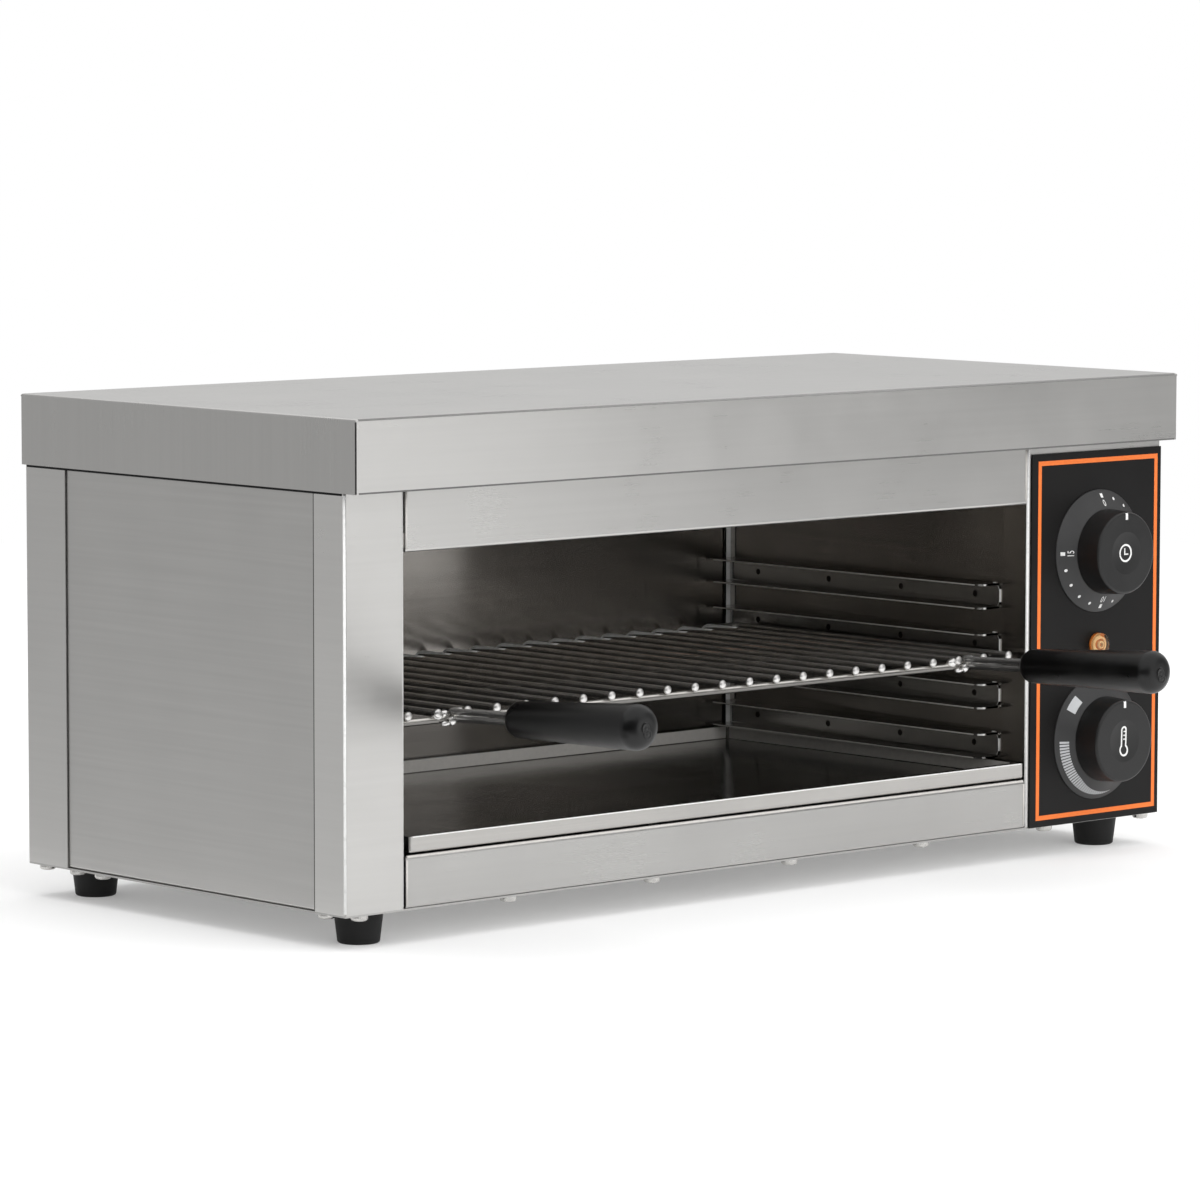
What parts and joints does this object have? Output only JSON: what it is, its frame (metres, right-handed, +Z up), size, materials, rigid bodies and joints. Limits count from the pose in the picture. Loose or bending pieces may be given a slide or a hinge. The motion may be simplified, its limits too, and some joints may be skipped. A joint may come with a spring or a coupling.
{
  "type": "salamander grill",
  "caption": "Countertop electric salamander grill: folded steel cabinet, wire rack with handles in channel runners, slide-out crumb tray and dial controls.",
  "frame": {"origin": "on the floor under the middle of the whole grill, handles and cable gland included", "axes": "+X to the right seen from the front, +Y to the back, +Z up"},
  "size_m": [0.61, 0.4206, 0.271],
  "materials": {
    "stainless": "fine brushed",
    "liner": "smooth, tinted by heat",
    "runner_steel": "smooth",
    "tray_steel": "smooth",
    "rack_wire": "bright drawn wire",
    "grip_black": "satin",
    "panel_black": "satin",
    "bezel_grey": "satin",
    "knob_black": "satin",
    "shaft_steel": "turned",
    "switch_body": "matt",
    "lens_amber": "clear gloss",
    "element_sheath": "dark oxidised",
    "hanger_steel": "smooth",
    "white_ceramic": "matt",
    "brass_pins": "turned",
    "copper": "drawn",
    "gland_black": "matt",
    "screw_steel": "bright",
    "foot_rubber": "matt"
  },
  "bodies": {
    "cabinet": {"top_cover": "stainless", "front_left_post": "stainless", "control_column": "stainless", "upper_fascia": "stainless", "lower_rail": "stainless", "left_side_panel": "stainless", "right_side_panel": "stainless", "rear_cover": "stainless", "base_plate": "stainless", "cavity_left_wall": "liner", "cavity_right_wall": "liner", "cavity_rear_wall": "liner", "cavity_ceiling": "liner", "left_runner_1": "runner_steel", "left_runner_2": "runner_steel", "left_runner_3": "runner_steel", "left_runner_4": "runner_steel", "right_runner_1": "runner_steel", "right_runner_2": "runner_steel", "right_runner_3": "runner_steel", "right_runner_4": "runner_steel", "control_panel": "panel_black", "timer_bezel": "bezel_grey", "thermostat_bezel": "bezel_grey", "timer_body": "switch_body", "thermostat_body": "switch_body", "pilot_lamp_body": "switch_body", "pilot_lens": "lens_amber", "heating_element_front": "element_sheath", "heating_element_rear": "element_sheath", "element_hanger_left": "hanger_steel", "element_hanger_right": "hanger_steel", "bulb_clips": "hanger_steel", "element_bushes": "white_ceramic", "terminal_block": "white_ceramic", "element_terminals": "brass_pins", "thermostat_bulb": "copper", "capillary_tube": "copper", "cable_gland": "gland_black", "gland_nut": "gland_black", "base_screws": "screw_steel", "lid_screws": "screw_steel", "foot_screws": "screw_steel", "foot_nuts": "screw_steel", "foot_front_left": "foot_rubber", "foot_front_right": "foot_rubber", "foot_rear_left": "foot_rubber", "foot_rear_right": "foot_rubber"},
    "rack": {"wire_rack": "rack_wire", "left_handle_rods": "rack_wire", "right_handle_rods": "rack_wire", "left_grip": "grip_black", "right_grip": "grip_black"},
    "tray": {"crumb_tray": "tray_steel"},
    "timer_dial": {"timer_knob": "knob_black", "timer_shaft": "shaft_steel"},
    "thermostat_dial": {"thermostat_knob": "knob_black", "thermostat_shaft": "shaft_steel"}
  },
  "joints": [
    {"name": "rack_slide", "type": "slide", "parent": "cabinet", "child": "rack", "axis": [0, -1, 0], "range_m": [0, 0.15]},
    {"name": "tray_slide", "type": "slide", "parent": "cabinet", "child": "tray", "axis": [0, -1, 0], "range_m": [0, 0.18]},
    {"name": "timer_turn", "type": "hinge", "parent": "cabinet", "child": "timer_dial", "pos_m": [0.2505, -0.07856, 0.17191], "axis": [0, 1, 0], "range_deg": [0, 270]},
    {"name": "thermostat_turn", "type": "hinge", "parent": "cabinet", "child": "thermostat_dial", "pos_m": [0.2505, -0.07856, 0.06519], "axis": [0, 1, 0], "range_deg": [0, 315]}
  ]
}
